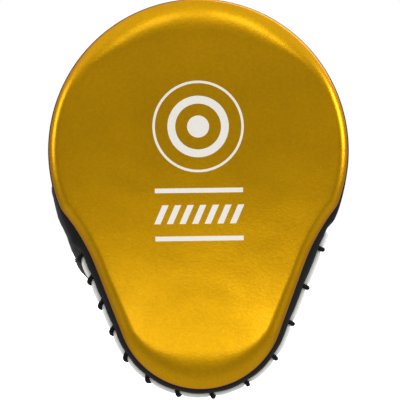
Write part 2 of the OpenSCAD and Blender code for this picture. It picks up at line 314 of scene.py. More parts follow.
def frames_along(path, closed):
    """Tangent and two normals at each point of a path, turned as little as possible."""
    if closed:
        tangent = np.roll(path, -1, 0) - np.roll(path, 1, 0)
    else:
        tangent = np.gradient(path, axis=0)
    tangent = unit(tangent)
    u = np.cross(tangent[0], [0.0, 1.0, 0.0])
    if np.linalg.norm(u) < 1e-3:
        u = np.cross(tangent[0], [1.0, 0.0, 0.0])
    us = []
    for t in tangent:
        u = unit(u - (u @ t) * t)
        us.append(u)
    us = np.array(us)
    return tangent, us, np.cross(tangent, us)


def circles(path, radii, u, v, sides):
    """A ring of points round each point of a path, in the plane of two directions."""
    a = round_angles(sides)
    c, s = np.cos(a)[None, :, None], np.sin(a)[None, :, None]
    return path[:, None] + radii[:, None, None] * (c * u[:, None] + s * v[:, None])


def tube(path, radii, sides, closed=False):
    """Points and faces of a round tube, joined to itself or closed at its ends."""
    path = np.asarray(path, float)
    _, u, v = frames_along(path, closed)
    points = circles(path, np.broadcast_to(radii, len(path)), u, v, sides).reshape(-1, 3)
    if closed:
        return points, grid_faces(len(path), sides, wrap_rows=True, wrap_cols=True)
    return points, capped_faces(len(path), sides)


def many(builds):
    """Joins several (points, faces) into one."""
    points, faces, start = [], [], 0
    for p, f in builds:
        points.append(p)
        faces += [[start + i for i in face] for face in f]
        start += len(p)
    return np.concatenate(points), faces


def spline(points, count):
    """A smooth line through a few points (Catmull-Rom), evenly spaced."""
    p = np.asarray(points, float)
    p = np.concatenate([[2 * p[0] - p[1]], p, [2 * p[-1] - p[-2]]])
    out = []
    for i in range(1, len(p) - 2):
        for t in np.linspace(0, 1, 12, endpoint=False):
            a, b, c, d = p[i - 1:i + 3]
            out.append(0.5 * (2 * b + (c - a) * t + (2 * a - 5 * b + 4 * c - d) * t * t
                              + (3 * b - a - 3 * c + d) * t ** 3))
    out.append(p[-2])
    return resample(np.array(out), count)


def wobble(points, size, amount, seed):
    """Smooth noise with waves of a size, one number for each point of a grid."""
    shift = Vector((seed, seed * 1.7, -seed))
    heights = [noise.noise(Vector(p) / size + shift) for p in points.reshape(-1, 3)]
    return amount * np.array(heights).reshape(points.shape[:-1])


def piece(obj, body, slot, *nodes):
    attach(obj, body)
    if nodes:
        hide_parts(*nodes)


def bridge(obj, node):
    """A soft piece that spans two bodies, left on no body: its placement is baked into its mesh and
    its CAD node hidden.
    """
    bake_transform(obj)
    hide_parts(node)


# ---------------------------------------------------------------- materials


class Nodes:
    """A short way to write a node tree."""

    def __init__(self, tree):
        self.tree = tree

    def add(self, kind, inputs=None, **settings):
        node = self.tree.nodes.new(kind)
        for name, value in settings.items():
            setattr(node, name, value)
        for name, value in (inputs or {}).items():
            socket = node.inputs[name]
            if isinstance(value, bpy.types.NodeSocket):
                self.tree.links.new(value, socket)
            else:
                socket.default_value = value
        return node

    def ramp(self, factor, stops):
        node = self.add("ShaderNodeValToRGB", {"Fac": factor})
        elements = node.color_ramp.elements
        while len(elements) < len(stops):
            elements.new(0.5)
        for element, (position, colour) in zip(elements, stops):
            element.position = position
            element.color = (*colour, 1.0) if len(colour) == 3 else colour
        return node.outputs["Color"]

    def spread(self, factor, low, high):
        node = self.add("ShaderNodeMapRange", {"Value": factor, "To Min": low, "To Max": high})
        return node.outputs["Result"]

    def math(self, operation, a, b):
        return self.add("ShaderNodeMath", {0: a, 1: b}, operation=operation).outputs[0]

    def noise(self, where, scale, detail, roughness=0.5):
        node = self.add("ShaderNodeTexNoise", {"Vector": where, "Scale": scale, "Detail": detail,
                                               "Roughness": roughness})
        return node.outputs["Fac"]

    def cells(self, where, scale, feature="F1"):
        node = self.add("ShaderNodeTexVoronoi", {"Vector": where, "Scale": scale}, feature=feature)
        return node.outputs["Distance"]


def new_material(name):
    material = bpy.data.materials.new(name)
    material.use_nodes = True
    n = Nodes(material.node_tree)
    shader = material.node_tree.nodes["Principled BSDF"]
    where = n.add("ShaderNodeTexCoord").outputs["Object"]
    return material, n, shader, where


def dress(n, shader, colour, height, strength, depth):
    """Gives the shader its colour and a relief, its depth in mm."""
    n.tree.links.new(colour, shader.inputs["Base Color"])
    bump = n.add("ShaderNodeBump", {"Strength": strength, "Distance": depth * MM, "Height": height})
    n.tree.links.new(bump.outputs["Normal"], shader.inputs["Normal"])


def scaled(colour, k):
    return tuple(min(1.0, c * k) for c in colour)


def leather(name, colour, roughness, grain, depth, metallic=0.0, coat=0.0,
            vary=0.12, specular=0.5, fleck=0.3, edge=(1.0, 1.0, 1.0)):
    """Faux leather: pebbled grain, fine pores, slow changes of colour and gloss."""
    material, n, shader, where = new_material(name)
    slow = n.noise(where, 28.0, 4.0)
    pebble = n.noise(where, 420.0 / grain, 1.0, 0.6)
    grainy = n.math("ADD", n.cells(where, 900.0 / grain, "SMOOTH_F1"), pebble)
    tone = n.ramp(slow, [(0.3, scaled(colour, 1 - vary)), (0.7, scaled(colour, 1 + vary))])
    flecks = n.ramp(pebble, [(0.25, (1 - fleck,) * 3), (0.75, (1 + fleck,) * 3)])
    mix = n.add("ShaderNodeMix", {}, data_type="RGBA", blend_type="MULTIPLY")
    mix.inputs["Factor"].default_value = 1.0
    n.tree.links.new(tone, mix.inputs[6])
    n.tree.links.new(flecks, mix.inputs[7])
    dress(n, shader, mix.outputs[2], grainy, 0.8, depth)
    n.tree.links.new(n.spread(slow, roughness - 0.04, roughness + 0.05), shader.inputs["Roughness"])
    shader.inputs["Metallic"].default_value = metallic
    shader.inputs["Coat Weight"].default_value = coat
    shader.inputs["Coat Roughness"].default_value = 0.28
    shader.inputs["Specular IOR Level"].default_value = specular
    shader.inputs["Specular Tint"].default_value = (*edge, 1.0)
    return material


def cloth(name, colour, size, roughness=0.85, depth=0.15, sheen=0.2, specular=0.4):
    """Woven or knitted cloth: two crossed waves and fuzz."""
    material, n, shader, where = new_material(name)
    wave = {"Vector": where, "Scale": 1 / (size * MM) / 6.28 * 2, "Distortion": 0.6, "Detail": 1.0}
    warp, weft = (n.add("ShaderNodeTexWave", wave, bands_direction=axis).outputs["Fac"]
                  for axis in ("X", "Z"))
    mixed = n.math("ADD", n.math("MULTIPLY", warp, weft), n.noise(where, 1800.0, 4.0))
    tone = n.ramp(mixed, [(0.2, scaled(colour, 0.55)), (1.0, scaled(colour, 1.5))])
    dress(n, shader, tone, mixed, 0.9, depth)
    shader.inputs["Roughness"].default_value = roughness
    shader.inputs["Sheen Weight"].default_value = sheen
    shader.inputs["Specular IOR Level"].default_value = specular
    return material


def foam(name, colour, cell):
    material, n, shader, where = new_material(name)
    cells = n.cells(where, 1000.0 / cell)
    dress(n, shader, n.ramp(cells, [(0.0, scaled(colour, 0.6)), (0.5, colour)]), cells, 0.8, 0.3)
    shader.inputs["Roughness"].default_value = 0.9
    return material


gold = leather("gold_leather", (0.56, 0.288, 0.0006), 0.36, grain=0.8, depth=0.05, metallic=1.0,
               coat=0.10, vary=0.03, fleck=0.07, edge=(0.85, 0.50, 0.04))
black = leather("black_leather", (0.007, 0.007, 0.0075), 0.46, grain=1.2, depth=0.11, specular=0.25)
# The gusset's black leather, made darker and duller than black_leather: its darker colour is
# painted shade for the recess between the gold rim and the welt.
gusset_black_painted_shade = leather("gusset_leather_painted_shade", (0.004, 0.004, 0.0042), 0.65, grain=1.2, depth=0.08,
                       specular=0.1)
white_piping = leather("white_piping", (0.85, 0.85, 0.82), 0.45, grain=0.9, depth=0.06, vary=0.05,
                       fleck=0.05)
ink = leather("white_print", (0.90, 0.87, 0.80), 0.55, grain=0.8, depth=0.03, vary=0.02, fleck=0.03)
lace_cord = cloth("black_lace", (0.003, 0.003, 0.003), 0.9, roughness=0.75, sheen=0.0,
                  specular=0.15)
thread = cloth("black_thread", (0.045, 0.045, 0.047), 0.5, roughness=0.6, sheen=0.1)
tape = cloth("binding_tape", (0.014, 0.014, 0.015), 0.8, roughness=0.75)
webbing = cloth("elastic_webbing", (0.016, 0.016, 0.017), 1.6, roughness=0.8, depth=0.4)
lining = cloth("lining_cloth", (0.05, 0.05, 0.053), 1.0)
hooks = cloth("hook_tape", (0.02, 0.02, 0.02), 1.3, roughness=0.6, depth=0.6, sheen=0.0)
loops = cloth("loop_tape", (0.035, 0.035, 0.036), 0.7, roughness=0.95, depth=0.5, sheen=0.6)
soft_foam = foam("soft_foam", (0.62, 0.56, 0.40), 1.2)
firm_foam = foam("firm_foam", (0.42, 0.42, 0.42), 0.9)
dense_foam = foam("dense_foam", (0.13, 0.13, 0.14), 0.6)

# ---------------------------------------------------------------- strike face

RIM_SIDE, RIM_END, RIM_DEEP = 7.0, 24.0, 12.0      # the rounded rim: wide at the top and heel
RIM_LIP = [(3.6, 23.0), (1.6, 24.2), (0.6, 23.7),  # its turned edge, as (inset, depth)
           (0.12, 22.2), (0.0, 19.0), (0.0, 16.0)]
CROWN, CROWN_LENGTH = 1.6, 24.0                    # the foam's slight crown
SPINE = (-97.0, 0.0)                               # from the lobe's to the head's centre
face_outline = ring(FACE_LEGS)
near_end = np.clip((np.abs(face_outline[:, 1] - CURVE_Z) - 60) / 40, 0, 1)
rim_width = RIM_SIDE + (RIM_END - RIM_SIDE) * near_end * outward(face_outline)[:, 1] ** 2


def to_spine(start, rows):
    """Rings (x, z) from a ring in to the centre line between two heights."""
    low, high = start[:, 1].min(), start[:, 1].max()
    goal = np.stack([np.zeros(len(start)),
                     np.interp(start[:, 1], [low, high], SPINE)], 1)
    return [start + (goal - start) * v for v in np.linspace(0, 1, rows + 1)[1:]]


def crown(d):
    """Depth lost at a distance from the edge, where the foam's crown falls off."""
    return CROWN * np.exp(-d / CROWN_LENGTH)


def face_rings(shrink=0.0, lip=True):
    """Rings of the face's surface, from the seam at the rim to the middle."""
    rows = []
    if lip:
        rows += [on_pad(ring(FACE_LEGS, inset + shrink), depth) for inset, depth in RIM_LIP]
    inward = -outward(face_outline)
    for turn in np.linspace(0, math.pi / 2, 16):
        inset = rim_width * (1 - math.cos(turn))
        depth = RIM_DEEP * (1 - math.sin(turn)) + crown(inset) + shrink
        line = face_outline + inward * (inset + shrink)[:, None]
        rows.append(on_pad(line, depth))
    for line in to_spine(face_outline + inward * (rim_width + shrink)[:, None], 24):
        rows.append(on_pad(line, crown(distance_to(face_outline, line) - shrink) + shrink))
    return np.array(rows)


def make_face_cover():
    rows = face_rings()
    rows[..., 1] += wobble(rows, 34.0, 0.35, 3.0) + wobble(rows, 13.0, 0.10, 8.0)
    obj = rings_object("face_cover_skin", rows, gold, merge=0.02)
    face_towards(obj, FORWARDS)
    return obj


face_cover = make_face_cover()
face_tree = BVHTree.FromObject(face_cover, bpy.context.evaluated_depsgraph_get())
solidify(face_cover, SKIN)
piece(face_cover, "mitt", "gold_leather", "face_cover")


def on_face(xz, lift):
    """Points (x, z) dropped on the face's finished surface, lifted off it."""
    out = []
    for x, z in xz:
        start = Vector((x, -300.0, z + HEAD_Z)) * MM
        hit = face_tree.ray_cast(start, Vector((0, 1, 0)))[0]
        out.append((x, hit.y / MM - lift, z + HEAD_Z))
    return np.array(out)


INK_TOP, INK_SUNK = 0.10, 0.05


def ink_patch(rows):
    """A closed patch of ink from a grid of points (x, z): rows x cols x 2."""
    flat = rows.reshape(-1, 2)
    points = np.concatenate([on_face(flat, INK_TOP), on_face(flat, -INK_SUNK)])
    return points, slab_faces(*rows.shape[:2])


def ink_ring(centre_z, r_in, r_out, cols=160):
    a = np.linspace(0, 2 * math.pi, cols)
    rows = [np.stack([r * np.cos(a), centre_z + r * np.sin(a)], 1)
            for r in np.linspace(r_in, r_out, 4)]
    return ink_patch(np.array(rows))


def ink_bar(x0, x1, z0, z1, slant=0.0, cols=30):
    rows = []
    for v in np.linspace(0, 1, 4 if slant == 0 else 8):
        x = np.linspace(x0, x1, cols) + slant * v
        rows.append(np.stack([x, np.full(cols, z0 + (z1 - z0) * v)], 1))
    return ink_patch(np.array(rows))


TARGET_Z, TARGET_RINGS, TARGET_DOT_R = 15.0, [(29.0, 1.6), (19.5, 5.0)], 7.0
RULE_W, RULE_H, RULE_HEIGHTS = 56.0, 3.0, (-25.5, -56.0)
BAR_COUNT, BAR_PITCH, BAR_W, BAR_H, BAR_SLANT, BAR_Z = 7, 8.0, 4.0, 12.0, 5.4, -40.7


def make_print():
    """A plain target of two rings and a dot, with two rules and a row of slanted bars."""
    builds = [ink_ring(TARGET_Z, r - line, r) for r, line in TARGET_RINGS]
    builds.append(ink_ring(TARGET_Z, 0.05, TARGET_DOT_R, cols=80))
    for z in RULE_HEIGHTS:
        builds.append(ink_bar(-RULE_W / 2, RULE_W / 2, z - RULE_H / 2, z + RULE_H / 2))
    for i in range(BAR_COUNT):
        x = (i - (BAR_COUNT - 1) / 2) * BAR_PITCH - (BAR_W + BAR_SLANT) / 2
        builds.append(ink_bar(x, x + BAR_W, BAR_Z - BAR_H / 2, BAR_Z + BAR_H / 2, BAR_SLANT, 6))
    obj = mesh_object("face_print_ink", *many(builds), ink, smooth=False)
    piece(obj, "mitt", "white_print", "face_print")


make_print()


def level_rings(line, depth):
    """Rings from an outline in to the middle, all at one depth."""
    return np.array([on_pad(inner, depth) for inner in [line, *to_spine(line, 10)]])


def make_strike_foam():
    front = face_rings(SKIN + 0.4, lip=False)
    back = level_rings(ring(FACE_LEGS, SKIN + 0.9), 21.0)
    rows = np.concatenate([front[::-1], back])
    obj = rings_object("strike_foam_block", rows, soft_foam, merge=0.02)
    piece(obj, "mitt", "soft_foam", "strike_foam")


make_strike_foam()


BACKING_FROM, BACKING_T = RIM_DEPTH + 0.4, 15.2


def make_backing_foam():
    """The backing foam, from the face's outline at its front to the back's."""
    front_line, back_line = ring(FACE_LEGS, 4.0, 190), ring(BACK_LEGS, WELT_OUT + 2.4, 190)
    sides = [on_pad((1 - v) * front_line + v * back_line, BACKING_FROM + v * BACKING_T)
             for v in np.linspace(0, 1, 8)]
    front = level_rings(front_line, BACKING_FROM)[1:]
    back = level_rings(back_line, BACKING_FROM + BACKING_T)[1:]
    rows = np.concatenate([front[::-1], sides, back])
    obj = rings_object("backing_foam_block", rows, dense_foam, merge=0.02)
    piece(obj, "mitt", "dense_foam", "backing_foam")


def show_cad_node(name, material):
    """A foam that stays as the CAD made it, with its material."""
    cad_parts[name].data.materials.clear()
    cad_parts[name].data.materials.append(material)


make_backing_foam()
show_cad_node("core_foam", firm_foam)

# ---------------------------------------------------------------- welt and lace

WELT_COUNT = 440
WELT_DEPTH = PAD_DEPTH - WELT_R / 2


def welt_line():
    """The welt's middle, from its end away from the thumb round the heel to the other."""
    half = half_outline(BACK_LEGS, WELT_R)
    sides = []
    for end_z in WELT_ENDS_Z:
        end_x = np.interp(-end_z, -half[:, 1], half[:, 0])
        sides.append(np.concatenate([[(end_x, end_z)], half[half[:, 1] < end_z - 1]]))
    line = np.concatenate([sides[0], sides[1][-2::-1] * [-1, 1]])
    return resample(on_pad(line, WELT_DEPTH), WELT_COUNT)


def welt_frames():
    """Tangent, outward and backward directions along the welt."""
    t = unit(np.gradient(welt_path, axis=0))
    out = unit(np.cross([0.0, 1.0, 0.0], t))
    out *= np.sign(((welt_path - welt_path.mean(0)) * out).sum(1).mean())
    back = np.cross(t, out)
    return t, out, back * np.sign(back[:, 1].mean())


welt_path = welt_line()
welt_step = np.linalg.norm(welt_path[1] - welt_path[0])
welt_t, welt_o, welt_b = welt_frames()
turn_k = np.arange(LACE_COUNT)
lace_runs = LACE_START + LACE_PITCH * turn_k - LACE_TIGHTEN * turn_k ** 2 / 2
lace_at = np.round(lace_runs / welt_step).astype(int)


def near_lace(points, width):
    """1 at a lace turn, falling to 0 away from it."""
    gap = np.linalg.norm(points[:, None] - welt_path[lace_at][None], axis=2)
    return np.exp(-(gap.min(1) / width) ** 2)


def make_welt():
    """The piping, pinched by each turn of the lace and rounded off at its two ends."""
    pinch = near_lace(welt_path, 2.8)
    runs = np.arange(WELT_COUNT) * welt_step
    from_end = np.minimum(runs, runs[-1] - runs) / 1.2
    end = np.sqrt(np.clip(1 - (1 - np.minimum(from_end, 1)) ** 2, 0.02, 1))
    radius = (WELT_R + 0.2) * (1 - 0.25 * pinch) * end
    rows = circles(welt_path - welt_o * (0.8 * pinch)[:, None], radius, welt_o, welt_b, 18)
    rows += wobble(rows, 5.0, 0.18, 2.0)[..., None] * welt_o[:, None]
    obj = bar_object("welt_piping", rows, white_piping)
    piece(obj, "mitt", "white_piping", "welt")


# One turn of lace round the welt, as (outwards, backwards, share of its slant)
LACE_ROUTE = [(-5.0, -4.6, -1.0), (-3.0, -4.5, -0.8), (-0.9, -3.5, -0.5), (1.2, -2.3, -0.25),
              (2.1, 0.0, 0.0), (1.3, 2.3, 0.25), (-0.8, 3.2, 0.5), (-3.2, 3.2, 0.8),
              (-5.2, 2.0, 0.9), (-6.0, 0.2, 1.0)]


def make_lace():
    """The lace's turns: out of the gusset, over the welt and into the back panel."""
    builds = []
    for i in lace_at:
        side = welt_path[i][0] / 60.0
        slant = 2.3 - 1.7 * max(-1.0, min(1.0, side))
        points = [welt_path[i] + welt_o[i] * p + welt_b[i] * q - welt_t[i] * (w * slant)
                  for p, q, w in LACE_ROUTE]
        builds.append(tube(spline(points, 30), LACE_R, 14))
    obj = mesh_object("lace_turns", *many(builds), lace_cord)
    piece(obj, "mitt", "black_lace", "whip_lace")


make_welt()
make_lace()


def seam_ring(inset, count):
    """A ring beside the back's seam, which lies further in along the welt."""
    above = ring(BACK_LEGS, SEAM_OUT + inset, count)
    below = ring(BACK_LEGS, WELT_OUT + inset, count)
    end_z = np.where(above[:, 0] > 0, *WELT_ENDS_Z)
    v = np.clip((above[:, 1] - end_z + 1) / 9, 0, 1)
    return below + (above - below) * eased(v)[:, None]


GUSSET_FROM, GUSSET_TO = 22.6, PAD_DEPTH - 2.0     # its depths at the gold rim and at the welt
GUSSET_BULGE, GUSSET_PUCKER = 2.6, 0.9


def make_gusset():
    """The black side, from under the gold rim out to the welt, puckered at the lace."""
    count, rows = 300, []
    front = ring(FACE_LEGS, 1.3, count)
    back = seam_ring(-0.9, count)
    pinch = near_lace(on_pad(back, WELT_DEPTH), 5.5)
    for v in np.linspace(-0.06, 1, 15):
        line = (1 - v) * front + v * back
        bulge = GUSSET_BULGE * math.sin(math.pi * max(v, 0)) ** 0.8
        pucker = GUSSET_PUCKER * pinch * max(v, 0) ** 2
        line = line + outward(line) * (bulge - pucker)[:, None]
        rows.append(on_pad(line, GUSSET_FROM + v * (GUSSET_TO - GUSSET_FROM)))
    rows.append(on_pad(back - outward(back) * 2.2, GUSSET_TO + 0.5))
    rows = np.array(rows)
    rows[..., 1] += wobble(rows, 9.0, 0.35, 5.0)
    # Its leather's darker colour is painted shade.
    obj = rings_object("side_gusset_skin", rows, gusset_black_painted_shade)
    turn_outside(obj)
    solidify(obj, 1.1)
    piece(obj, "mitt", "black_leather", "side_gusset")


make_gusset()


def make_rim_bead():
    """The gold sheet's turned cut edge, a thin line between the gold and the gusset."""
    line = on_pad(ring(FACE_LEGS, 0.35), RIM_DEPTH + 0.05)
    obj = mesh_object("face_cover_cut_edge", *tube(line, 0.5, 8, closed=True), gold)
    piece(obj, "mitt", "gold_leather")


make_rim_bead()


# The back panel's rolled edge, as (inset, depth)
PANEL_EDGE = [(3.0, 40.2), (0.0, 40.6), (-0.6, 41.2), (0.2, 41.9), (2.2, 42.1), (6.0, 42.15)]


def make_back_panel():
    rows = [on_pad(seam_ring(inset, 200), depth) for inset, depth in PANEL_EDGE]
    rows += [on_pad(seam_ring(i, 200), PAD_DEPTH + 0.1) for i in (12, 20, 28)]
    rows += [on_pad(line, PAD_DEPTH) for line in to_spine(seam_ring(28, 200), 14)]
    rows = np.array(rows)
    pinch = near_lace(rows[3], 5.5)
    rows[1:6] -= (0.8 * pinch)[None, :, None] * outward_3d(rows[3])
    rows[..., 1] += wobble(rows, 26.0, 0.30, 1.0)
    obj = rings_object("back_panel_skin", rows, black, merge=0.02)
    face_towards(obj, BACKWARDS)
    solidify(obj, SKIN)
    piece(obj, "mitt", "black_leather", "back_panel")


def outward_3d(line):
    """Outward directions of a closed line on the pad, in the plane of the face."""
    flat = outward(line[:, [0, 2]])
    return np.stack([flat[:, 0], 0 * flat[:, 0], flat[:, 1]], 1)


make_back_panel()

# ---------------------------------------------------------------- stitches

THREAD_R = 0.34
STITCH_SHARE = 0.66                        # of the pitch; the rest is under the leather
STITCH_DIP = 0.25                          # how deep its two ends go in


def rows_of_stitches(name, lines, body, pitch=3.4, radius=THREAD_R):
    """Short thread loops along lines, as one piece: a line is its points and the direction
    off the leather, either one for them all or one for each."""
    builds = []
    ends_in = np.array([1, 0.12, 0, 0.12, 1])
    radii = radius * np.array([0.6, 1, 1, 1, 0.6])
    for points, normals in lines:
        normals = unit(np.broadcast_to(np.asarray(normals, float), points.shape))
        run = np.concatenate([[0], np.cumsum(np.linalg.norm(np.diff(points, axis=0), axis=1))])
        count = max(1, int(run[-1] / pitch))
        step = run[-1] / count
        for k in range(count):
            at = (k + 0.5) * step + np.linspace(-0.5, 0.5, 5) * STITCH_SHARE * step
            line = np.stack([np.interp(at, run, c) for c in points.T], 1)
            out = np.stack([np.interp(at, run, c) for c in normals.T], 1)
            lift = radius * 0.8 - (radius + STITCH_DIP) * ends_in
            builds.append(tube(line + out * lift[:, None], radii, 6))
    obj = mesh_object(name, *many(builds), thread)
    piece(obj, body, "black_lace")


# ---------------------------------------------------------------- palm dome

DOME_Z, DOME_R, DOME_H, DOME_HEM = -50.0, 34.0, 12.0, 3.5
DOME_S = along_back(DOME_Z)


def dome_height(r):
    ball = (DOME_R ** 2 + DOME_H ** 2) / (2 * DOME_H)
    cap = np.sqrt(np.maximum(ball ** 2 - np.minimum(r, DOME_R) ** 2, 0)) - ball + DOME_H
    return np.where(r > DOME_R, 0, cap)


def make_dome():
    radii = np.concatenate([[0.01], np.linspace(1.5, DOME_R - 0.6, 26), [DOME_R, DOME_R + 0.8],
                            [DOME_R + DOME_HEM - 0.5, DOME_R + DOME_HEM]])
    lifts = np.interp(radii, [0, 28, DOME_R - 3, DOME_R, DOME_R + 1, DOME_R + 3, DOME_R + DOME_HEM],
                      [1.0, 1.4, 1.5, 1.0, 1.2, 1.5, 0.4])
    a = round_angles(96)
    rows = []
    for r, lift in zip(radii, lifts):
        pucker = 0.35 * math.exp(-((r - DOME_R + 3) / 3.0) ** 2)
        pucker = pucker * np.sin(19 * a + 0.8 * np.sin(3 * a))
        h = dome_height(r) + lift + pucker
        rows.append(on_back(r * np.cos(a), DOME_S + r * np.sin(a), h))
    obj = rings_object("palm_dome_skin", np.array(rows), black, merge=0.05)
    face_towards(obj, BACKWARDS)
    solidify(obj, 1.0)
    piece(obj, "mitt", "black_leather", "palm_dome_cover")
    around = np.linspace(0, 2 * math.pi, 140)
    r = DOME_R + 1.9
    line = on_back(r * np.cos(around), DOME_S + r * np.sin(around), 1.45)
    rows_of_stitches("palm_dome_stitches", [(line, BACKWARDS)], "mitt")


make_dome()

# ---------------------------------------------------------------- hood

HOOD_Z, CUFF_S = -50.0, -43.0
HOOD_S = along_back(HOOD_Z)
POCKET_HALF, POCKET_H, HOOD_FALL = 47.0, 34.0, math.radians(6)
PAD_FROM, HOOD_OUT = 1.3, 9.2
ARCH_POWER = 3.3
KNUCKLE_S = 42.5                           # where the hood meets the knuckle bridge
HOOD_END_S = KNUCKLE_S + 2.5
CHANNELS = 4                               # padded ribs across the hood
FLANGE = 5.5


def roof(s):
    """Inner height of the hand space, s along the back from the hood's own frame."""
    return POCKET_H - s * math.tan(HOOD_FALL) + s * s / (2 * BACK_R)


def rib(s):
    """0 at a sewn channel across the hood, 1 on the crown of a padded rib."""
    t = min(1.0, (s - CUFF_S) / (KNUCKLE_S - CUFF_S)) * CHANNELS
    return abs(math.sin(math.pi * t)) ** 0.55


def arch(u, s, out, ribs=0.0):
    """The hood's arch as (x, height): u from 0 at the thumb side's foot to 1 at the other."""
    a = math.pi * (1 - u)
    c, q = math.cos(a), math.sin(a)
    k = (abs(c) ** ARCH_POWER + abs(q) ** ARCH_POWER) ** (-1 / ARCH_POWER)
    grow = out + ribs * rib(s) * min(1.0, q * 2.2)
    return (POCKET_HALF + grow) * c * k, (roof(s) + grow) * q * k + 0.2


def hood_point(u, s, out, ribs=0.0):
    x, h = arch(u, s, out, ribs)
    return on_back(x, HOOD_S + s, h)


def cuff_taper(s):
    """Thins the hood's layers towards the bound cuff edge."""
    return 1 - 0.42 * math.exp(-((s - CUFF_S) / 4.0) ** 2)


def hood_grid(out, ribs=0.0, rows=64, cols=73, tuck=0.0):
    """A layer of the hood, its feet tucked in by a share of its width."""
    us = np.linspace(tuck, 1 - tuck, cols)
    grid = []
    for s in np.linspace(CUFF_S, HOOD_END_S, rows):
        grow = 0.5 + (out - 0.5) * cuff_taper(s)
        grid.append([hood_point(u, s, grow, ribs * cuff_taper(s)) for u in us])
    return np.array(grid).reshape(rows, cols, 3)


def flanged(grid):
    """Adds the flanges that lie on the back panel, out from both feet of an arch."""
    rows = []
    for i, line in enumerate(grid):
        s = np.interp(i, [0, len(grid) - 1], [CUFF_S, HOOD_END_S])
        foot = abs(line[0][0])
        left = [on_back(-foot - d, HOOD_S + s, h) for d, h in
                ((FLANGE, 0.5), (FLANGE - 0.3, 1.4), (FLANGE * 0.5, 1.55), (1.6, 1.7), (0.5, 2.6))]
        right = [p * [-1, 1, 1] for p in left[::-1]]
        rows.append(np.concatenate([left, line[2:-2], right]))
    return np.array(rows)


THUMB = standing(-67.3, -66.0, 18.5, -18.6)


def thumb_section(w, grow=0.0, sides=40):
    """A section of the thumb's sleeve at w along it, in the thumb's own frame."""
    places = [-20, -12, -6, 0, 8.5, 20, 33, 45, 52]
    outer = np.interp(w, places, [5.0, 8.6, 11.2, 12.8, 14.0, 14.1, 15.6, 14.4, 13.2])
    inner = np.interp(w, places, [16.0, 14.0, 12.0, 11.0, 12.0, 13.4, 13.6, 13.0, 12.4])
    height = np.interp(w, places, [9.0, 11.5, 13.2, 14.2, 14.6, 14.4, 14.6, 13.8, 12.8])
    a = round_angles(sides)
    c, q = np.cos(a), np.sin(a)
    reach = np.where(c < 0, outer, inner) + grow
    return np.stack([reach * c, (height + grow) * q, np.full(sides, float(w))], 1)


def thumb_cutter():
    """The hole through the hood's side where the thumb goes in."""
    rows = np.array([put(THUMB, thumb_section(w, -1.6, 32)) for w in np.linspace(-15, 9, 9)])
    return bar_object("thumb_hole_cutter", rows, black)


def cut_hole(obj, cutter):
    """Cuts a closed shape out of a piece."""
    m = obj.modifiers.new("hole", "BOOLEAN")
    m.object, m.operation, m.solver = cutter, "DIFFERENCE", "EXACT"
    freeze(obj)


def freeze(obj):
    """Applies every modifier, so that the mesh is final."""
    graph = bpy.context.evaluated_depsgraph_get()
    mesh = bpy.data.meshes.new_from_object(obj.evaluated_get(graph))
    obj.modifiers.clear()
    obj.data = mesh


PUFF, SLACK = 5.0, 0.035                   # the padding's push, and the cloth's spare length
MOST_IN, MOST_OUT, MOST_ASIDE = 0.25, 1.8, 0.6


def billow(obj, held):
    """Cloth simulation of a sewn sheet pushed out by its padding: held is 1 at the seams,
    in the sheet's rows and columns."""
    shape, held = held.shape, held.ravel()
    mesh = obj.data
    rest = np.array([v.co for v in mesh.vertices])
    normals = np.array([v.normal for v in mesh.vertices])
    group = obj.vertex_groups.new(name="sewn")
    for i, weight in enumerate(held):
        group.add([i], float(weight), "REPLACE")
    m = obj.modifiers.new("billow", "CLOTH")
    m.settings.quality = 6
    m.settings.vertex_group_mass = "sewn"
    m.settings.use_pressure = True
    m.settings.uniform_pressure_force = PUFF
    m.settings.shrink_min = -SLACK
    m.settings.bending_stiffness = 0.2
    m.settings.effector_weights.gravity = 0
    m.point_cache.frame_start, m.point_cache.frame_end = 1, 20
    for number in range(1, 21):
        bpy.context.scene.frame_set(number)
    moved = obj.evaluated_get(bpy.context.evaluated_depsgraph_get()).data
    shift = (np.array([v.co for v in moved.vertices]) - rest) / MM
    obj.modifiers.remove(m)
    obj.vertex_groups.clear()
    bpy.context.scene.frame_set(1)
    out = (shift * normals).sum(1)
    aside = shift - out[:, None] * normals
    aside /= np.maximum(1.0, np.linalg.norm(aside, axis=1) / MOST_ASIDE)[:, None]
    limit = np.where(out > 0, MOST_OUT, MOST_IN)
    shift = aside + (limit * np.tanh(out / limit))[:, None] * normals
    shift = (shift * (1 - held)[:, None]).reshape(*shape, 3)
    for axis in (0, 1, 0, 1):
        shift = (np.roll(shift, 1, axis) + 2 * shift + np.roll(shift, -1, axis)) / 4
    shift *= (held < 1).reshape(*shape, 1)
    mesh.vertices.foreach_set("co", (rest + shift.reshape(-1, 3) * MM).ravel())
    mesh.update()


def sewn_down(rows):
    """How firmly each point of the hood's shell is sewn: its channels, feet and two ends."""
    s = np.linspace(CUFF_S, HOOD_END_S, len(rows))
    channels = CUFF_S + (KNUCKLE_S - CUFF_S) * np.arange(CHANNELS + 1) / CHANNELS
    gap = np.abs(s[:, None] - channels).min(1)
    held = np.clip((3.2 - gap) / 2.2, 0, 1)
    held[(s < CUFF_S + 5) | (s > KNUCKLE_S - 3)] = 1
    held = np.repeat(held[:, None], rows.shape[1], axis=1)
    held[:, :9], held[:, -9:] = 1, 1
    near_thumb = np.linalg.norm(rows - put(THUMB, np.zeros((1, 3)))[0], axis=2)
    return np.maximum(held, np.clip((32 - near_thumb) / 6, 0, 1))


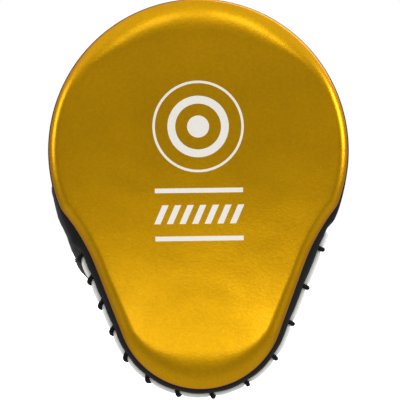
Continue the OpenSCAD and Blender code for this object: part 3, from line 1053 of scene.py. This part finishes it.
def make_hood():
    cutter = thumb_cutter()
    shell_rows = flanged(hood_grid(HOOD_OUT, ribs=1.7, rows=120))
    shell_rows[..., 1] += wobble(shell_rows, 15.0, 0.35, 4.0)
    shell = sheet_object("hood_skin", shell_rows, black)
    billow(shell, sewn_down(shell_rows))
    solidify(shell, SKIN)
    inside = hood_grid(PAD_FROM, tuck=0.005)
    outside = hood_grid(HOOD_OUT - SKIN - 0.5, ribs=1.7, tuck=0.005)
    foam_block = mesh_object("hood_foam_block", np.concatenate([inside, outside]),
                             slab_faces(*inside.shape[:2]), soft_foam)
    lining_sheet = sheet_object("hood_lining_cloth", hood_grid(1.0, cols=61, rows=40), lining)
    solidify(lining_sheet, 0.9)
    for obj in (shell, foam_block, lining_sheet):
        cut_hole(obj, cutter)
    bpy.data.objects.remove(cutter)
    piece(shell, "mitt", "black_leather", "hood_shell")
    piece(foam_block, "mitt", "soft_foam", "hood_foam")
    piece(lining_sheet, "mitt", "lining_cloth", "hood_lining")
    make_hood_stitches()


def make_hood_stitches():
    lines = []
    for k in range(1, CHANNELS):
        s = CUFF_S + (KNUCKLE_S - CUFF_S) * k / CHANNELS
        us = np.linspace(0.07, 0.93, 90)
        line = np.array([hood_point(u, s, 0.5 + (HOOD_OUT - 0.5) * cuff_taper(s)) for u in us])
        far = np.array([hood_point(u, s, HOOD_OUT + 4.0) for u in us])
        lines.append((line, far - line))
    for side in (-1, 1):
        for reach in (2.3, 4.1):
            x = side * (POCKET_HALF + HOOD_OUT + 0.35 + reach)
            ss = np.linspace(CUFF_S + 2, KNUCKLE_S, 50)
            lines.append((on_back(x, HOOD_S + ss, 1.6), BACKWARDS))
    rows_of_stitches("hood_stitches", lines, "mitt")


make_hood()


CUFF_T = HOOD_OUT * 0.58                   # the hood's thickness at its bound edge


def make_cuff_binding():
    """The edge tape rolled over the hood's cuff, from foot to foot."""
    middle, reach = (0.5 + CUFF_T) / 2, CUFF_T / 2 + 1.0
    rows = []
    for u in np.clip(np.linspace(-0.004, 1.004, 110), 0, 1):
        section = []
        for angle in round_angles(18):
            c, q = math.cos(angle), math.sin(angle)
            c, q = math.copysign(abs(c) ** 0.8, c), math.copysign(abs(q) ** 0.8, q)
            section.append(hood_point(u, CUFF_S + 0.6 + 3.4 * q, middle + reach * c))
        rows.append(section)
    obj = bar_object("cuff_binding_tape", np.array(rows), tape)
    piece(obj, "mitt", "binding_tape", "cuff_binding")
    us = np.linspace(0.02, 0.98, 110)
    line = np.array([hood_point(u, CUFF_S + 2.6, 0.5 + CUFF_T + 0.85) for u in us])
    far = np.array([hood_point(u, CUFF_S + 2.6, HOOD_OUT + 5) for u in us])
    rows_of_stitches("cuff_binding_stitches", [(line, far - line)], "mitt")


make_cuff_binding()

# ---------------------------------------------------------------- fingers

FINGER_S = along_back(36.0)
MOUTH = -38.0
FINGERS = [("index", -35.25, -3.5, 73.0), ("middle", -11.75, -1.2, 80.0),
           ("ring", 11.75, 1.2, 75.0), ("little", 35.25, 3.8, 62.0)]
FINGER_R, FINGER_LIFT = 11.5, 11.9
TIP_LEN = 15.0                             # the rounded end of a stall


def finger_point(x, lean, length, t, a, grow=0.0):
    """A point of a stall's skin, t along it from its mouth and a round it."""
    end = max(0.0, (t - (length - TIP_LEN)) / TIP_LEN)
    k = max(0.0, 1 - min(end, 1.0) ** 2.5) ** (1 / 2.5)
    crease = sum(math.exp(-((t - t0 * length) / 1.7) ** 2) for t0 in (0.33, 0.40, 0.66))
    swell = 0.35 * math.sin(t / 9.0 + x) - 0.55 * crease * max(0.0, math.sin(a))
    r = (FINGER_R + grow + swell * min(1.0, (length - t) / 12.0)) * k
    top = 1.0 - 0.10 * min(1.0, t / length)
    h = FINGER_LIFT + r * math.sin(a) * (top if math.sin(a) > 0 else 1.0)
    h = max(h, 0.45 + 2.0 * (1 - k))
    return on_back(x + math.tan(math.radians(lean)) * t + r * math.cos(a),
                   FINGER_S + MOUTH + t, h).reshape(3)


def make_finger(name, x, lean, length):
    """A finger stall, its skin creased at the joints, with two rows of stitches."""
    sides, tip_from = 48, length - TIP_LEN
    tip = tip_from + TIP_LEN * np.sin(np.linspace(0.06, 1, 16) * math.pi / 2)
    ts = np.concatenate([np.linspace(-1.0, tip_from, 60), tip])
    rows = np.array([[finger_point(x, lean, length, t, 2 * math.pi * j / sides)
                      for j in range(sides)] for t in ts])
    obj = rings_object(f"{name}_stall_sleeve", rows, black, merge=0.02)
    turn_outside(obj)
    solidify(obj, 1.2)
    piece(obj, "mitt", "black_leather", f"{name}_stall")
    lines = []
    for a in (0.62, math.pi - 0.62):
        ts = np.linspace(9, length - 6, 60)
        line = np.array([finger_point(x, lean, length, t, a) for t in ts])
        far = np.array([finger_point(x, lean, length, t, a, 2.0) for t in ts])
        lines.append((line, far - line))
    rows_of_stitches(f"{name}_stall_stitches", lines, "mitt", pitch=3.0, radius=0.3)


for finger in FINGERS:
    make_finger(*finger)


def finger_envelope(x, t):
    """Height of a sheet that lies over the stalls' tops, sinking a little between them."""
    best, r = 0.0, FINGER_R + 1.5
    for _, x0, lean, _ in FINGERS:
        gap = abs(x - x0 - math.tan(math.radians(lean)) * t)
        if gap < r:
            best = max(best, FINGER_LIFT + math.sqrt(r * r - gap * gap))
    return best


def make_knuckle_cover():
    """The leather between the hood's end and the stalls, stitched down over their mouths."""
    start, finish = KNUCKLE_S + 1.5, KNUCKLE_S + 17.0
    grid = []
    for v in np.linspace(0, 1, 26):
        ease = eased(v)
        s = start + (finish - start) * v
        t = HOOD_S + s - FINGER_S - MOUTH
        line = []
        for u in np.linspace(0, 1, 121):
            x0, h0 = arch(u, start, HOOD_OUT + 0.5)
            x1 = (47.6 + t * 0.03) * x0 / 56.7
            inside = np.clip((1 - abs(x1) / 49.0) * 9, 0, 1)
            h1 = finger_envelope(x1, max(t, 0)) * inside + 1.4
            line.append(on_back(x0 + (x1 - x0) * ease, HOOD_S + s, h0 + (h1 - h0) * ease))
        grid.append(line)
    grid = np.array(grid)
    obj = sheet_object("knuckle_cover", grid, black)
    solidify(obj, 1.1)
    piece(obj, "mitt", "black_leather")
    line, last = grid[-2], grid[-3]
    normal = np.cross(np.gradient(line, axis=0), line - last)
    normal *= np.sign(normal[:, 1].mean())
    rows_of_stitches("knuckle_stitches", [(line[6:-6], normal[6:-6])], "mitt")


DIVIDER_S, DIVIDER_T = 45.4, 2.6
FINGER_BORE_R = 10.0


def make_divider():
    """The plate between the hand space and the stalls, with a hole for each finger."""
    us = np.linspace(0.0, 1.0, 90)
    rings = []
    for s, inset in ((0.0, 1.6), (0.3, 1.0), (DIVIDER_T - 0.3, 1.0), (DIVIDER_T, 1.6)):
        arch = [hood_point(u, DIVIDER_S + s, HOOD_OUT - inset) for u in us]
        foot = [on_back(x, HOOD_S + DIVIDER_S + s, 0.4)
                for x in np.linspace(arch[-1][0], arch[0][0], 30)[1:-1]]
        rings.append(arch + foot)
    obj = bar_object("knuckle_divider", np.array(rings), black, smooth=False)
    cutters = []
    for finger in FINGERS:
        ends = [on_back(finger[1], HOOD_S + DIVIDER_S + s, FINGER_LIFT)
                for s in (-3.0, DIVIDER_T + 3.0)]
        cutters.append(tube(np.linspace(*ends, 4), FINGER_BORE_R, 64))
    cutter = mesh_object("finger_hole_cutter", *many(cutters), black)
    cut_hole(obj, cutter)
    bpy.data.objects.remove(cutter)
    piece(obj, "mitt", "black_leather", "knuckle_bridge")


make_divider()
make_knuckle_cover()

# ---------------------------------------------------------------- thumb

THUMB_LEN, TIP_FROM = 60.0, 46.0


def make_thumb():
    """The thumb stall, its skin creased at the joint and closed by a round tip."""
    rows = []
    for w in np.linspace(-1.5, TIP_FROM, 48):
        section = thumb_section(w)
        crease = sum(math.exp(-((w - c) / 1.8) ** 2) for c in (19.0, 23.5))
        section[:, :2] *= (1 - 0.035 * crease * (section[:, 1:2] > 0))
        rows.append(section)
    base = thumb_section(TIP_FROM)
    for e in np.sin(np.linspace(0.08, 1, 14) * math.pi / 2):
        k = max(0.0, 1 - e ** 2.4) ** (1 / 2.4)
        cap = base * [k, k, 1]
        cap[:, 2] = TIP_FROM + (THUMB_LEN - 1.0 - TIP_FROM) * e
        rows.append(cap)
    rows = np.array([put(THUMB, r) for r in rows])
    rows += wobble(rows, 11.0, 0.4, 6.0)[..., None] * [1, 0.4, 0]
    obj = rings_object("thumb_stall_sleeve", rows, black, merge=0.02)
    turn_outside(obj)
    solidify(obj, 1.2)
    piece(obj, "thumb", "black_leather", "thumb_stall")
    lines = []
    for a in (0.35, math.pi - 0.35):
        j = int(round(a / (2 * math.pi) * 40))
        lines.append((rows[4:56, j], rows[4:56, j] - rows[4:56].mean(1)))
    rows_of_stitches("thumb_stall_stitches", lines, "thumb", pitch=3.0, radius=0.3)
    make_thumb_web()


def make_thumb_web():
    """The leather that joins the thumb stall's root to the hood's side."""
    rows = [thumb_section(w, 1.3 - 0.5 * np.clip((w + 2) / 6, 0, 1))
            for w in np.linspace(-19, 3.5, 26)]
    lip = thumb_section(3.9, 0.2)
    rows = np.array([put(THUMB, r) for r in [*rows, lip]])
    rows += wobble(rows, 9.0, 0.5, 7.0)[..., None] * [1, 0.5, 0]
    obj = rings_object("thumb_web", rows, black)
    turn_outside(obj)
    solidify(obj, 1.0)
    freeze(obj)
    bridge(obj, "thumb_gusset")
    seam = put(THUMB, thumb_section(1.9, 0.95, 80))
    closed = np.concatenate([seam, seam[:1]])
    rows_of_stitches("thumb_root_stitches", [(closed, closed - seam.mean(0))], "thumb")


make_thumb()

# ---------------------------------------------------------------- wrist strap

STRAP = standing(0.0, -113.0)
WRIST_HALF, WRIST_H, WRIST_R = 35.0, 38.0, 16.0
STRAP_W, STRAP_T = 30.0, 2.0
LOOP_OUT, PATCH_OUT, HOOK_OUT, WEB_OUT = 2.0, 2.15, 3.65, 5.0
PATCH_FROM, PATCH_TO, PATCH_T = -18.0, 13.0, 1.2
TIP_X, TIP_T = 15.0, STRAP_T + 0.5


def arch_line(out, x_from, x_to):
    """Points (x, y) of the strap's arch grown by out, from the thumb side's foot over the top."""
    w, h, r = WRIST_HALF + out, WRIST_H + out, WRIST_R + out
    left = [(-w, y) for y in np.linspace(0.2, h - r, 16)]
    corner = [(-w + r - r * math.cos(a), h - r + r * math.sin(a)) for a in
              np.linspace(0, math.pi / 2, 18)[1:]]
    half = left + corner
    points = resample(np.array(half + [(-x, y) for x, y in half[::-1]]), 260)
    keep = points[(points[:, 0] >= x_from) & (points[:, 0] <= x_to)]
    return resample(keep, int(len(keep) * 0.7))


def ribbon(name, line, width, thickness, material, cols=21, rib_height=0.0):
    """A flat closed band along a line (x, y), as wide in the strap's z, plain or ribbed."""
    tangent = unit(np.gradient(line, axis=0))
    normal = np.stack([-tangent[:, 1], tangent[:, 0]], 1)
    edge = np.linspace(-1, 1, cols)
    zs = edge * width / 2
    profile = thickness / 2 * (1 - np.abs(edge) ** 8 * 0.55)
    ribs = rib_height * np.cos(edge * math.pi * 9) * (np.abs(edge) < 0.94)
    rows = []
    for point, up in zip(line, normal):
        top = np.column_stack([point + up * (profile + ribs)[:, None], zs])
        low = np.column_stack([point - up * profile[:, None], zs])
        rows.append(put(STRAP, np.concatenate([top, low[::-1]])))
    return bar_object(name, np.array(rows), material)


def rooted(line, reach, side, at_start=True):
    """A line with its foot turned out flat on the back panel."""
    body = line if at_start else line[::-1]
    body = body[body[:, 1] > 3.4]
    x0 = body[0][0]
    foot = np.array([(x0 + side * d, h) for d, h in
                     ((reach, 1.1), (reach * 0.6, 1.15), (2.6, 1.25), (0.9, 1.8), (0.2, 2.8))])
    joined = np.concatenate([foot, body])
    joined = spline(joined, len(joined) * 2)
    return joined if at_start else joined[::-1]


WEB_FROM, WEB_FOOT, TAB_FOOT, TAB_T = 12.0, 7.0, 8.0, 1.8
BEYOND = 60                                # past either foot of the arch


def make_webbing():
    web = rooted(arch_line(WEB_OUT + STRAP_T / 2, WEB_FROM, BEYOND), WEB_FOOT, 1, at_start=False)
    obj = ribbon("wrist_strap_webbing", web, STRAP_W, STRAP_T - 0.2, webbing, 61, 0.14)
    bridge(obj, "wrist_strap")


def make_tab_and_patches():
    """The leather tab of the wrist's other side, and the two halves of the fastener."""
    tab = rooted(arch_line(LOOP_OUT / 2, -BEYOND, PATCH_TO), TAB_FOOT, -1)
    obj = ribbon("loop_tab_leather", tab, STRAP_W, TAB_T, black)
    piece(obj, "mitt", "black_leather", "loop_tab")
    for name, out, material, body in (("loop", PATCH_OUT, loops, "mitt"),
                                      ("hook", HOOK_OUT, hooks, "strap_end")):
        patch = arch_line(out + PATCH_T / 2, PATCH_FROM, PATCH_TO - 0.5)
        obj = ribbon(f"{name}_patch_tape", patch, STRAP_W - 4, PATCH_T, material)
        piece(obj, body, f"{name}_tape", f"{name}_patch")


def make_strap_tip():
    """The leather pull end: a half round end, then along the arch, over the webbing's end."""
    straight = arch_line(WEB_OUT + STRAP_T / 2 + 0.1, PATCH_FROM, TIP_X + 4)
    half_w, y = STRAP_W / 2, straight[0][1]
    outline = [(PATCH_FROM - 14.5 * e, y, half_w * math.sqrt(max(0.0, 1 - e * e)) or 0.2)
               for e in np.sin(np.linspace(1, 0.1, 14) * math.pi / 2)]
    outline += [(x, y, half_w) for x, y in straight]
    edge = np.linspace(-1, 1, 23)
    profile = TIP_T / 2 * (1 - np.abs(edge) ** 8 * 0.6)
    rows = []
    for x, y, half in outline:
        over = y + 1.2 * np.clip((x - TIP_X + 1.0) / 2.0, 0, 1)
        across = np.full(len(edge), x)
        top = np.column_stack([across, over + profile, edge * half])
        low = np.column_stack([across, over - profile * 0.8, edge * half])
        rows.append(put(STRAP, np.concatenate([top, low[::-1]])))
    obj = bar_object("strap_tip_leather", np.array(rows), black, merge=0.01)
    bridge(obj, "strap_tip")


def level_line(path, count, h):
    """A line for stitches through a few points (x, z), h above the strap's frame."""
    flat = resample(np.array(path, float), count)
    points = put(STRAP, np.column_stack([flat[:, 0], np.full(count, h), flat[:, 1]]))
    return points, STRAP[1][:, 1]


def stitch_strap_tip():
    half, end_x = STRAP_W / 2 - 2.6, TIP_X - 2.6
    border = [(end_x, half), (PATCH_FROM, half)]
    border += [(PATCH_FROM - half * math.sin(q), half * math.cos(q))
               for q in np.linspace(0, math.pi, 20)[1:-1]]
    border += [(PATCH_FROM, -half), (end_x, -half), (end_x, half)]
    line = level_line(border, 160, WRIST_H + WEB_OUT + STRAP_T + 0.3)
    rows_of_stitches("strap_tip_stitches", [line], "strap_end")


def box_stitch(x0, x1, half, h):
    """A sewn rectangle with a cross in it, on the panel at a strap's root."""
    corners = [(x0, -half), (x1, -half), (x1, half), (x0, half), (x0, -half)]
    cross = [(x0, -half), (x1, half)], [(x1, -half), (x0, half)]
    return [level_line(path, 60, h) for path in (corners, *cross)]


# Boxes sewn through the strap's two feet, as (x from, x to, half width, height)
ROOT_BOXES = [(43.8, 48.6, 13.0, 2.35), (-43.4, -38.4, 13.0, 2.1)]


def stitch_strap_roots():
    lines = [line for box in ROOT_BOXES for line in box_stitch(*box)]
    rows_of_stitches("strap_root_stitches", lines, "mitt", pitch=2.8)


ANCHOR_FROM, ANCHOR_TO, ANCHOR_HALF = 37.0, 51.0, 16.5


def make_anchor():
    """The leather patch sewn over the strap's root."""
    grid = []
    zs = np.linspace(-ANCHOR_HALF, ANCHOR_HALF, 44)
    for x in np.linspace(ANCHOR_FROM, ANCHOR_TO, 30):
        over_web = np.clip((50.0 - x) / 2.0, 0, 1) * np.clip((x - 41.0) / 2.0, 0, 1)
        side = np.clip((ANCHOR_HALF - np.abs(zs)) / 1.4, 0, 1) * np.clip(ANCHOR_TO - x, 0, 1)
        h = 0.5 + (1.0 + STRAP_T * 0.75 * over_web) * side ** 0.5
        grid.append(put(STRAP, np.column_stack([np.full(44, x), h, zs])))
    obj = sheet_object("strap_anchor_patch", np.array(grid), black)
    solidify(obj, 0.5)
    piece(obj, "mitt", "black_leather", "strap_anchor")


make_webbing()
make_tab_and_patches()
make_strap_tip()
stitch_strap_tip()
stitch_strap_roots()
make_anchor()
show_cad_node("palm_dome_foam", soft_foam)

# ---------------------------------------------------------------- stage, camera, lights

PHOTO_WIDTH = 255.6        # what the picture's width takes in at the rim, mm
RIM_Y = 14.0               # the depth at which it does
CAMERA_FAR = 2000.0
CAMERA_X, CAMERA_Z, CAMERA_ROLL = 0.6, HEAD_Z - 31.6, 0.75
SENSOR = 36.0


def make_camera():
    data = bpy.data.cameras.new("camera")
    data.sensor_width = SENSOR
    data.lens = SENSOR * CAMERA_FAR / PHOTO_WIDTH
    data.clip_start, data.clip_end = 0.1, 50
    camera = bpy.data.objects.new("camera", data)
    bpy.context.scene.collection.objects.link(camera)
    rim_y = HEAD_Y + RIM_Y
    camera.location = Vector((CAMERA_X, rim_y - CAMERA_FAR, CAMERA_Z)) * MM
    camera.rotation_euler = (math.radians(90), math.radians(CAMERA_ROLL), 0)
    bpy.context.scene.camera = camera


make_camera()


# Lamps in metres and watts: place, size of the square, power
LAMPS = {
    "key_left": ((-0.30, -1.17, 0.56), 0.24, 1.2),
    "key_right": ((0.35, -1.16, 0.56), 0.24, 1.8),
    "side_left": ((-1.35, 0.20, 0.30), 0.6, 4.5),
    "side_right": ((1.35, 0.20, 0.30), 0.6, 8.0),
    "back_fill": ((0.5, 1.4, 0.9), 1.0, 9.0),
}
AIM = Vector((0.0, 0.0, 0.06))


def area_light(name, place, size, power):
    data = bpy.data.lights.new(name, "AREA")
    data.size, data.energy = size, power
    light = bpy.data.objects.new(name, data)
    light.location = place
    light.rotation_mode = "QUATERNION"
    light.rotation_quaternion = (AIM - light.location).to_track_quat("-Z", "Y")
    bpy.context.scene.collection.objects.link(light)


for lamp, settings in LAMPS.items():
    area_light(lamp, *settings)

# Brightness against (sine of the height above eye level + 1) / 2, as shares of the gain
SURROUND = [(0.0, 0.58), (0.25, 0.56), (0.32, 0.46), (0.37, 0.35), (0.42, 0.32), (0.52, 0.31),
            (0.58, 0.35), (0.66, 0.56), (0.76, 0.82), (0.86, 0.85), (1.0, 0.80)]
SURROUND_GAIN = 1.4


def make_world():
    """A soft surround, dimmest at eye level, with a white backdrop that only the camera sees."""
    world = bpy.data.worlds.new("studio")
    bpy.context.scene.world = world
    world.use_nodes = True
    n = Nodes(world.node_tree)
    background = world.node_tree.nodes["Background"]
    towards = n.add("ShaderNodeTexCoord").outputs["Generated"]
    height = n.add("ShaderNodeSeparateXYZ", {"Vector": towards}).outputs["Z"]
    up = n.add("ShaderNodeMapRange", {"Value": height, "From Min": -1.0}).outputs["Result"]
    sky = n.math("MULTIPLY", n.ramp(up, [(v, (k,) * 3) for v, k in SURROUND]), SURROUND_GAIN)
    seen = n.add("ShaderNodeLightPath").outputs["Is Camera Ray"]
    strength = n.add("ShaderNodeMix", {"Factor": seen, "A": sky, "B": 1.0}, data_type="FLOAT")
    world.node_tree.links.new(strength.outputs[0], background.inputs["Strength"])
    background.inputs["Color"].default_value = (1, 1, 1, 1)


make_world()


FLOOR_R, FLOOR_GAP = 6.0, 0.0005           # metres


def make_stage():
    low = min(cad_box[0].z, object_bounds()[0].z)
    bpy.ops.mesh.primitive_circle_add(vertices=96, radius=FLOOR_R, fill_type="NGON",
                                      location=(0, 0, low - FLOOR_GAP))
    floor = bpy.context.object
    floor.name = "floor"
    material, _, shader, _ = new_material("pale_floor")
    shader.inputs["Base Color"].default_value = (0.9, 0.9, 0.9, 1)
    shader.inputs["Roughness"].default_value = 0.9
    shader.inputs["Emission Color"].default_value = (1, 1, 1, 1)
    shader.inputs["Emission Strength"].default_value = 0.9
    floor.data.materials.append(material)
    floor.visible_diffuse = floor.visible_glossy = False
    bpy.context.scene.view_settings.view_transform = "Standard"


make_stage()

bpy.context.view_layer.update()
